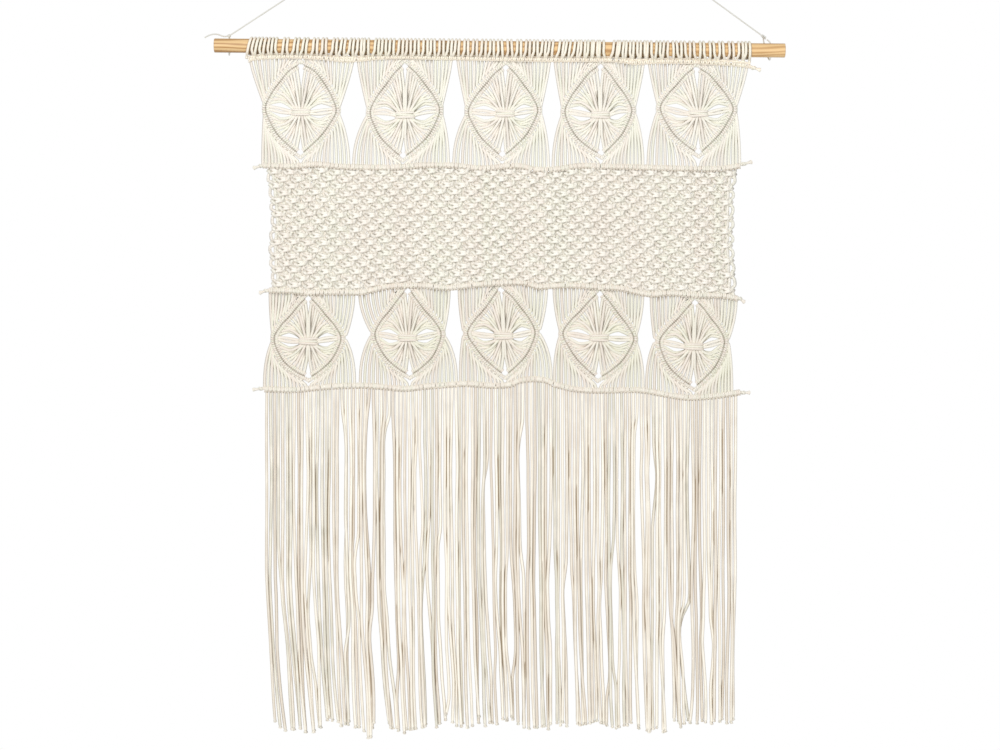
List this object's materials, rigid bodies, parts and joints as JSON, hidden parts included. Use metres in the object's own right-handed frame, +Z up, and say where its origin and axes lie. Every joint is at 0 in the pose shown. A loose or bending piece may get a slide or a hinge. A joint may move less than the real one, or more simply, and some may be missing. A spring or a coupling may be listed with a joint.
{
  "type": "macrame wall hanging on a wooden dowel",
  "caption": "Wide knotted cotton wall hanging with two tiers of openwork diamonds, a band of square knots and a long fringe, on a round wooden dowel with a thin hanging cord.",
  "frame": {"origin": "the hang point, where the hanging cord bends over its nail", "axes": "+Z up, +X to the right and -Y towards the viewer who faces the front"},
  "size_m": [0.871, 0.0261, 1.3276],
  "materials": {
    "cotton": "matte",
    "cord": "matte",
    "pine": "satin"
  },
  "bodies": {
    "root": {"dowel": "pine", "hanging_cord": "cord", "cord_loop_left": "cord", "cord_loop_right": "cord", "cord_knot_left": "cord", "cord_knot_right": "cord", "cord_tail": "cord", "heading_1": "cotton", "heading_2": "cotton", "heading_3": "cotton", "heading_4": "cotton", "heading_5": "cotton", "hitch_row_1": "cotton", "hitch_row_2": "cotton", "hitch_row_3": "cotton", "hitch_row_4": "cotton", "upper_motif_1": "cotton", "upper_motif_2": "cotton", "upper_motif_3": "cotton", "upper_motif_4": "cotton", "upper_motif_5": "cotton", "knot_band": "cotton", "lower_motif_1": "cotton", "lower_motif_2": "cotton", "lower_motif_3": "cotton", "lower_motif_4": "cotton", "lower_motif_5": "cotton", "fringe": "cotton"}
  },
  "joints": []
}
